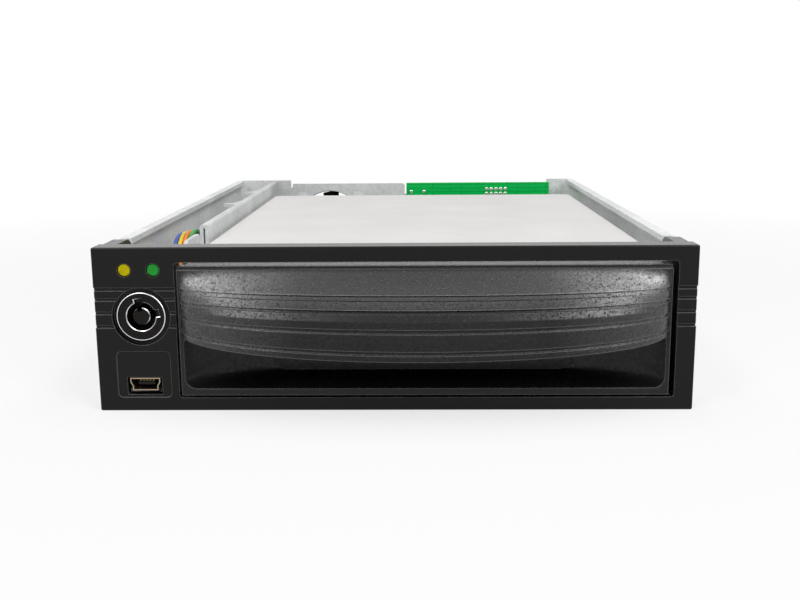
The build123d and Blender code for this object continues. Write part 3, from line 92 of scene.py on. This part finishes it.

# Painted highlight on edges: its lightness, the cosines of the turn where it is whole and gone, and rays
PAINTED_EDGE_LIGHT = 0.18
EDGE_TURN = (0.8, 0.97)
EDGE_SAMPLES = 6

# Hood: how far proud of the bezel's face its skin starts, its sheen is whole and its pits are whole
PROUD_START = 0.125 * MM
PROUD_SHEEN = 0.925 * MM
PROUD_PITS = 3.125 * MM

# Hood: the crown's height, the fade below it, and how far from the middle the ends gain a painted sheen
CROWN_HIGH = 6.0 * MM
CROWN_FADE = 3.0 * MM
PAINTED_SHEEN_STRETCH = (30.0 * MM, 57.0 * MM)
PAINTED_END_SHEEN = 0.6

# Metals: pattern per metre and depth of the relief
SHEET_MOTTLE_SCALE = 700.0
COVER_MOTTLE_SCALE = 1100.0
SHEET_CLOUD_SCALE = 38.0
SHEET_RELIEF = 0.008 * MM
SCRATCH_SCALE = 900.0
SCRATCH_STRETCH = (1.0, 6.0, 1.0)
METAL_RELIEF = 0.01 * MM

# Lock: wear per metre, the radius where its chrome rim begins, and the normal's Y on its chrome chamfers
LOCK_WEAR_SCALE = 1500.0
LOCK_RIM_IN = 5.83 * MM
CHAMFER_SLOPE = -0.7
CHAMFER_SPREAD = 0.2

# Lights and leads: pattern per metre, relief, and how far light scatters in the lights' resin
RESIN_SCALE = 700.0
RESIN_SCATTER = 0.8 * MM
WIRE_TONE_SCALE = 300.0
WIRE_GRAIN_SCALE = 1800.0
SOFT_RELIEF = 0.02 * MM

# Boards: rows of traces on upright faces under the lacquer, and the weave of the board
UPRIGHT = (math.radians(90), 0.0, 0.0)
TRACES = {"Scale": 140.0, "Mortar Size": 0.03, "Brick Width": 1.7, "Row Height": 0.22}
TRACE_STAGGER = 0.37
TRACE_RELIEF = 0.03 * MM
WEAVE_SCALE = 1500.0
WEAVE_RELIEF = 0.01 * MM

# Floor: half its width, the distances between which it fades to plain white, and the share of white at each
FLOOR_HALF = 3.0
FLOOR_FADE = (0.1, 0.4)
FLOOR_GLOW = (0.7, 1.0)

# Strength of the world's light on the object
WORLD_FILL = 0.12

# Lamps: place, width and height in metres, and power in watts
LAMPS_AIM = (0.0, -0.1, 0.03)
LAMPS = {
    "left_box": ((-0.53, -0.78, 0.66), (0.36, 0.7), 3.6),
    "right_box": ((0.55, -0.78, 0.66), (0.36, 0.7), 4.9),
    "left_top": ((-0.43, -0.16, 0.98), (0.9, 0.3), 2.6),
    "right_top": ((0.43, -0.16, 0.98), (0.9, 0.3), 3.2),
    "back_box": ((0.0, 0.3, 1.0), (0.7, 0.16), 0.4),
}

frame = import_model()
nodes = frame["nodes"]

# Places in the frame: the bezel's front face, the lock's middle, and the hood's middle and crown
face_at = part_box("front_bezel")[0].y
lock_low, lock_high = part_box("lock_housing")
lock_at = (lock_low + lock_high) / 2
hood_low, hood_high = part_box("carrier_front")
hood_mid = (hood_low.x + hood_high.x) / 2
crown_at = hood_high.z - CROWN_HIGH


# Shader helpers
def opaque(colour):
    return (*colour, 1.0)


def shade(colour, factor):
    return tuple(channel * factor for channel in colour)


def material(name, colour, roughness, metallic=0.0, specular=0.5):
    made = bpy.data.materials.new(name)
    made.use_nodes = True
    shader = made.node_tree.nodes["Principled BSDF"]
    shader.inputs["Base Color"].default_value = opaque(colour)
    shader.inputs["Roughness"].default_value = roughness
    shader.inputs["Metallic"].default_value = metallic
    shader.inputs["Specular IOR Level"].default_value = specular
    return made, made.node_tree, shader


def node(tree, kind, inputs=None, **settings):
    made = tree.nodes.new("ShaderNode" + kind)
    for key, value in settings.items():
        setattr(made, key, value)
    for key, value in (inputs or {}).items():
        if isinstance(value, bpy.types.NodeSocket):
            tree.links.new(value, made.inputs[key])
        else:
            made.inputs[key].default_value = value
    return made


def link(tree, shader, sockets):
    for name, value in sockets.items():
        tree.links.new(value, shader.inputs[name])


def calc(tree, operation, *values):
    return node(tree, "Math", dict(enumerate(values)), operation=operation).outputs[0]


def vector_calc(tree, operation, *values):
    return node(tree, "VectorMath", dict(enumerate(values)), operation=operation).outputs


def scaled(tree, vector, factor):
    return node(tree, "VectorMath", {0: vector, "Scale": factor}, operation="SCALE").outputs["Vector"]


def place(tree, stretch=(1.0, 1.0, 1.0)):
    coords = node(tree, "TexCoord").outputs["Object"]
    return node(tree, "Mapping", {"Vector": coords, "Scale": stretch}).outputs["Vector"]


def noise(tree, vector, scale, detail=2.0, roughness=0.5):
    inputs = {"Vector": vector, "Scale": scale, "Detail": detail, "Roughness": roughness}
    return node(tree, "TexNoise", inputs).outputs["Fac"]


def ramp(tree, factor, low, high, low_at=0.0, high_at=1.0):
    made = node(tree, "ValToRGB", {"Fac": factor})
    first, last = made.color_ramp.elements
    first.position, last.position = low_at, high_at
    first.color, last.color = opaque(low), opaque(high)
    return made.outputs["Color"]


def remap(tree, factor, low, high, from_low=0.0, from_high=1.0):
    inputs = {"Value": factor, "From Min": from_low, "From Max": from_high, "To Min": low, "To Max": high}
    return node(tree, "MapRange", inputs).outputs["Result"]


def mix_colours(tree, factor, first, second):
    inputs = {"Factor": factor, "A": first, "B": second}
    return node(tree, "Mix", inputs, data_type="RGBA").outputs["Result"]


def bump(tree, height, distance, strength=1.0, normal=None):
    inputs = {"Height": height, "Distance": distance, "Strength": strength}
    if normal:
        inputs["Normal"] = normal
    return node(tree, "Bump", inputs).outputs["Normal"]


# Plastics
def rounded(tree, radius):
    return node(tree, "Bevel", {"Radius": radius}, samples=EDGE_SAMPLES).outputs["Normal"]


# Painted highlight: lightens the colour where the bevel's rounded normal turns away from the face's
def painted_edge_highlight(tree, soft):
    facing = node(tree, "NewGeometry").outputs["Normal"]
    turn = vector_calc(tree, "DOT_PRODUCT", facing, soft)["Value"]
    edge_light = remap(tree, turn, PAINTED_EDGE_LIGHT, 0.0, *EDGE_TURN)
    return node(tree, "CombineXYZ", {"X": edge_light, "Y": edge_light, "Z": edge_light}).outputs[0]


def pit_level(tree, where, share):
    waver = node(tree, "TexNoise", {"Vector": where, "Scale": PIT_WARP_SCALE}).outputs["Color"]
    spots = vector_calc(tree, "ADD", where, scaled(tree, waver, PIT_WARP))["Vector"]
    cells = node(tree, "TexVoronoi", {"Vector": spots, "Scale": PIT_SCALE, "Randomness": 1.0}).outputs
    chance = node(tree, "SeparateColor", {0: cells["Color"]}).outputs["Red"]
    depth = node(tree, "SeparateXYZ", {0: where}).outputs["Y"]
    wanted = remap(tree, depth, share, 0.0, face_at - PROUD_PITS, face_at - PROUD_START)
    chosen = calc(tree, "LESS_THAN", chance, wanted)
    dent = calc(tree, "MULTIPLY", remap(tree, cells["Distance"], 1.0, 0.0, *PIT_RIM), chosen)
    return calc(tree, "SUBTRACT", 1.0, dent)


def hood_gloss_and_painted_sheen(tree, where, below, above):
    axes = node(tree, "SeparateXYZ", {0: where}).outputs
    high = remap(tree, axes["Z"], 0.0, 1.0, crown_at - CROWN_FADE, crown_at)
    proud = remap(tree, axes["Y"], 1.0, 0.0, face_at - PROUD_SHEEN, face_at - PROUD_START)
    aside = calc(tree, "ABSOLUTE", calc(tree, "SUBTRACT", axes["X"], hood_mid))
    # Painted sheen: the hood's ends reflect more, standing in for the highlights of their curved shape
    ends = calc(tree, "MULTIPLY", remap(tree, aside, 0.0, PAINTED_END_SHEEN, *PAINTED_SHEEN_STRETCH), proud)
    crown = remap(tree, calc(tree, "MULTIPLY", high, proud), below, above)
    return calc(tree, "ADD", crown, ends)


def moulded_plastic(name, colour, roughness, specular, grain, edge=0.0, pits=0.0, crown=0.0):
    made, tree, shader = material(name, colour, roughness, specular=specular)
    where = place(tree)
    fine = noise(tree, where, GRAIN_SCALE, detail=4.0, roughness=0.65)
    soft = rounded(tree, edge) if edge else None
    normal = bump(tree, fine, grain, normal=soft)
    tone = remap(tree, noise(tree, where, CLOUD_SCALE, detail=4.0), *CLOUD_TONE)
    if pits:
        level = pit_level(tree, where, pits)
        normal = bump(tree, level, PIT_DEPTH, strength=0.7, normal=normal)
        # Painted shade: darker tone and weaker sheen at the bottom of each pit
        tone = calc(tree, "MULTIPLY", tone, remap(tree, level, PIT_PAINTED_SHADE, 1.0))
        sheen = hood_gloss_and_painted_sheen(tree, where, specular, crown)
        sheen = calc(tree, "MULTIPLY", sheen, remap(tree, level, PIT_SHEEN_SHADE, 1.0))
        sheen = calc(tree, "MULTIPLY", sheen, remap(tree, fine, *GRAIN_SHEEN, *FINE_MID))
        link(tree, shader, {"Specular IOR Level": sheen})
    tint = scaled(tree, colour, tone)
    # Painted highlight along the edges, added to the colour
    if edge:
        tint = vector_calc(tree, "ADD", tint, painted_edge_highlight(tree, soft))["Vector"]
    dull = remap(tree, fine, roughness + GRAIN_DULL, roughness - GRAIN_DULL, *FINE_MID)
    link(tree, shader, {"Base Color": tint, "Roughness": dull, "Normal": normal})
    return made


# Metals
def sheet_metal(name, colour, roughness, metallic, mottle_scale, contrast):
    made, tree, shader = material(name, colour, roughness, metallic, specular=0.2)
    where = place(tree)
    mottle = noise(tree, where, mottle_scale, detail=5.0, roughness=0.7)
    cloud = noise(tree, where, SHEET_CLOUD_SCALE, detail=4.0, roughness=0.6)
    tone = calc(tree, "MULTIPLY", calc(tree, "ADD", mottle, cloud), 0.5)
    dark = shade(colour, 1.0 - contrast)
    pale = shade(colour, 1.0 + 0.5 * contrast)
    link(tree, shader, {
        "Base Color": ramp(tree, tone, dark, pale, low_at=0.38, high_at=0.62),
        "Roughness": remap(tree, mottle, roughness - 0.07, roughness + 0.1, *NOISE_MID),
        "Normal": bump(tree, mottle, SHEET_RELIEF, strength=0.5),
    })
    return made


def bright_metal(name, colour, roughness):
    made, tree, shader = material(name, colour, roughness, metallic=1.0)
    scratch = noise(tree, place(tree, SCRATCH_STRETCH), SCRATCH_SCALE, detail=4.0, roughness=0.6)
    link(tree, shader, {
        "Base Color": ramp(tree, scratch, shade(colour, 0.85), colour, low_at=0.3, high_at=0.6),
        "Roughness": remap(tree, scratch, roughness - 0.04, roughness + 0.08, *NOISE_MID),
        "Normal": bump(tree, scratch, METAL_RELIEF, strength=0.3),
    })
    return made


def chamfer_mask(tree):
    facing = node(tree, "NewGeometry").outputs["True Normal"]
    slope = node(tree, "SeparateXYZ", {0: facing}).outputs["Y"]
    return calc(tree, "COMPARE", slope, CHAMFER_SLOPE, CHAMFER_SPREAD)


def rim_mask(tree):
    coords = node(tree, "TexCoord").outputs["Object"]
    offset = vector_calc(tree, "SUBTRACT", coords, lock_at)["Vector"]
    flat = vector_calc(tree, "MULTIPLY", offset, (1.0, 0.0, 1.0))["Vector"]
    away = vector_calc(tree, "LENGTH", flat)["Value"]
    return calc(tree, "GREATER_THAN", away, LOCK_RIM_IN)


def lock_metal(name, mask):
    made, tree, shader = material(name, CHROME, 0.2, specular=0.15)
    chrome = mask(tree)
    wear = noise(tree, place(tree), LOCK_WEAR_SCALE, detail=4.0, roughness=0.65)
    dark = ramp(tree, wear, shade(LOCK_DARK, 0.4), shade(LOCK_DARK, 1.3), *NOISE_MID)
    link(tree, shader, {
        "Base Color": mix_colours(tree, chrome, dark, opaque(CHROME)),
        "Metallic": chrome,
        "Roughness": remap(tree, wear, 0.14, 0.3),
        "Normal": bump(tree, wear, METAL_RELIEF, strength=0.4),
    })
    return made


# Boards, lights and leads
def solder_mask(name):
    made, tree, shader = material(name, BOARD_GREEN, 0.3, specular=0.2)
    where = place(tree)
    turned = node(tree, "Mapping", {"Vector": where, "Rotation": UPRIGHT}).outputs["Vector"]
    lines = node(tree, "TexBrick", {"Vector": turned, **TRACES}, offset=TRACE_STAGGER).outputs["Fac"]
    weave = noise(tree, where, WEAVE_SCALE, detail=3.0)
    copper = calc(tree, "MULTIPLY", lines, 0.8)
    relief = bump(tree, lines, TRACE_RELIEF, strength=0.6)
    link(tree, shader, {
        "Base Color": mix_colours(tree, copper, opaque(BOARD_GREEN), opaque(TRACE_GREEN)),
        "Roughness": remap(tree, weave, 0.25, 0.4),
        "Normal": bump(tree, weave, WEAVE_RELIEF, strength=0.4, normal=relief),
    })
    return made


def lens_resin(name, colour):
    made, tree, shader = material(name, colour, 0.4, specular=0.08)
    shader.inputs["Subsurface Weight"].default_value = 0.4
    shader.inputs["Subsurface Scale"].default_value = RESIN_SCATTER
    cloudy = noise(tree, place(tree), RESIN_SCALE, detail=3.0)
    link(tree, shader, {
        "Base Color": ramp(tree, cloudy, shade(colour, 0.85), shade(colour, 1.15), *NOISE_MID),
        "Normal": bump(tree, cloudy, SOFT_RELIEF, strength=0.4),
    })
    return made


def insulation(name, colour):
    made, tree, shader = material(name, colour, 0.38)
    where = place(tree)
    tone = noise(tree, where, WIRE_TONE_SCALE, detail=3.0)
    grain = noise(tree, where, WIRE_GRAIN_SCALE)
    link(tree, shader, {
        "Base Color": ramp(tree, tone, shade(colour, 0.8), shade(colour, 1.1), *NOISE_MID),
        "Normal": bump(tree, grain, SOFT_RELIEF, strength=0.4),
    })
    return made


# Which piece has which material
def dress(made, *names):
    for name in names:
        mesh = nodes[name].data
        mesh.materials.clear()
        mesh.materials.append(made)


def dress_plastics():
    bezel = moulded_plastic(
        "bezel_plastic", BEZEL_BLACK, roughness=0.22, specular=0.17, grain=0.02 * MM, edge=0.25 * MM,
    )
    carrier = moulded_plastic(
        "carrier_plastic", CARRIER_BLACK, roughness=0.27, specular=0.24, grain=0.03 * MM, edge=0.4 * MM,
        pits=0.5, crown=0.65,
    )
    plain = moulded_plastic("plain_plastic", BEZEL_BLACK, roughness=0.45, specular=0.25, grain=0.02 * MM)
    header = moulded_plastic("header_plastic", NYLON, roughness=0.45, specular=0.5, grain=0.02 * MM)
    dress(bezel, "front_bezel")
    dress(carrier, "carrier_front")
    dress(
        plain,
        "left_runner", "right_runner", "fan_housing", "fan_rotor", "usb_tongue", "dock_receptacle",
        "power_connector", "data_connector", "rear_header", "drive_connector", "dock_plug",
    )
    dress(header, "front_header", "rear_plug")


def dress_metals():
    dress(lock_metal("lock_edges", chamfer_mask), "lock_face", "lock_plug")
    dress(lock_metal("lock_rim", rim_mask), "lock_housing")
    folded = {"roughness": 0.7, "metallic": 0.25, "mottle_scale": SHEET_MOTTLE_SCALE, "contrast": 0.2}
    flat = {"roughness": 0.8, "metallic": 0.05, "mottle_scale": COVER_MOTTLE_SCALE, "contrast": 0.06}
    dress(sheet_metal("sheet_metal", SHEET_GREY, **folded), "chassis", "carrier_tray", "fan_screws")
    # Painted shade: the rail gets a darker copy of the sheet metal
    dress(sheet_metal("rail_metal_shaded", RAIL_SHADED_GREY, **folded), "left_guide_rail")
    dress(sheet_metal("cover_metal", COVER_GREY, **flat), "carrier_cover")
    dress(bright_metal("port_tin", PORT_TIN, roughness=0.25), "usb_shell")
    dress(
        bright_metal("zinc_steel", ZINC, roughness=0.3),
        "rail_rivets", "front_board_screws", "lock_nut", "lock_cam", "cam_nut", "backplane_screws",
        "carrier_screws", "carrier_board_screws",
    )
    dress(bright_metal("tinned", TIN, roughness=0.25), "solder_pads")
    brass = bright_metal("turned_brass", BRASS, roughness=0.25)
    dress(brass, "backplane_standoffs", "carrier_board_standoffs")
    dress(bright_metal("gold_plate", GOLD, roughness=0.2), "usb_contacts", "dock_contacts")


def dress_electrics():
    dress(solder_mask("solder_mask"), "backplane_board", "carrier_board", "front_board")
    dress(lens_resin("lens_yellow", LED_YELLOW), "led_yellow")
    dress(lens_resin("lens_green", LED_GREEN), "led_green")
    for name, colour in WIRES.items():
        dress(insulation(name, colour), name)


# Stage, light and camera
def backdrop_rays(tree):
    path = node(tree, "LightPath").outputs
    seen = calc(tree, "MAXIMUM", path["Is Camera Ray"], path["Is Glossy Ray"])
    return calc(tree, "MAXIMUM", seen, path["Is Transmission Ray"])


def floor():
    ends = (-FLOOR_HALF, FLOOR_HALF)
    corners = [(x, y, 0.0) for y in ends for x in ends]
    mesh = bpy.data.meshes.new("floor")
    mesh.from_pydata(corners, [], [(0, 1, 3, 2)])
    made = bpy.data.objects.new("floor", mesh)
    bpy.context.scene.collection.objects.link(made)
    paint = bpy.data.materials.new("floor_paint")
    paint.use_nodes = True
    tree = paint.node_tree
    tree.nodes.clear()
    diffuse = node(tree, "BsdfDiffuse", {"Color": opaque(FLOOR_PALE)})
    glow = node(tree, "Emission", {"Color": opaque(WHITE), "Strength": 1.0})
    coords = node(tree, "TexCoord").outputs["Object"]
    away = vector_calc(tree, "LENGTH", coords)["Value"]
    share = calc(tree, "MULTIPLY", backdrop_rays(tree), remap(tree, away, *FLOOR_GLOW, *FLOOR_FADE))
    mix = node(tree, "MixShader", {0: share, 1: diffuse.outputs[0], 2: glow.outputs[0]})
    node(tree, "OutputMaterial", {"Surface": mix.outputs[0]})
    mesh.materials.append(paint)


def world():
    sky = bpy.data.worlds.new("studio")
    bpy.context.scene.world = sky
    sky.use_nodes = True
    tree = sky.node_tree
    tree.nodes.clear()
    soft = node(tree, "Background", {"Color": opaque(WHITE), "Strength": WORLD_FILL})
    white = node(tree, "Background", {"Color": opaque(WHITE), "Strength": 1.0})
    mix = node(tree, "MixShader", {0: backdrop_rays(tree), 1: soft.outputs[0], 2: white.outputs[0]})
    node(tree, "OutputWorld", {"Surface": mix.outputs[0]})


def lamp(name, at, size, power):
    light = bpy.data.lights.new(name, "AREA")
    light.shape = "RECTANGLE"
    light.size, light.size_y = size
    light.energy = power
    made = bpy.data.objects.new(name, light)
    bpy.context.scene.collection.objects.link(made)
    made.location = at
    made.rotation_euler = (Vector(LAMPS_AIM) - Vector(at)).to_track_quat("-Z", "Y").to_euler()


def camera():
    data = bpy.data.cameras.new("camera")
    data.sensor_width = SENSOR_MM
    data.lens = FOCAL_PX / IMAGE_W * SENSOR_MM
    made = bpy.data.objects.new("camera", data)
    bpy.context.scene.collection.objects.link(made)
    forward = Vector((
        math.sin(CAMERA_YAW) * math.cos(CAMERA_PITCH),
        math.cos(CAMERA_YAW) * math.cos(CAMERA_PITCH),
        -math.sin(CAMERA_PITCH),
    ))
    right = Vector((math.cos(CAMERA_YAW), -math.sin(CAMERA_YAW), 0.0))
    down = forward.cross(right)
    across = math.cos(CAMERA_ROLL) * right + math.sin(CAMERA_ROLL) * down
    up = math.sin(CAMERA_ROLL) * right - math.cos(CAMERA_ROLL) * down
    axes = Matrix((across, up, -forward)).transposed()
    made.matrix_world = Matrix.Translation(CAMERA_AT) @ axes.to_4x4()
    bpy.context.scene.camera = made


dress_plastics()
dress_metals()
dress_electrics()
floor()
world()
for lamp_name, settings in LAMPS.items():
    lamp(lamp_name, *settings)
camera()
bpy.context.scene.view_settings.view_transform = "Standard"
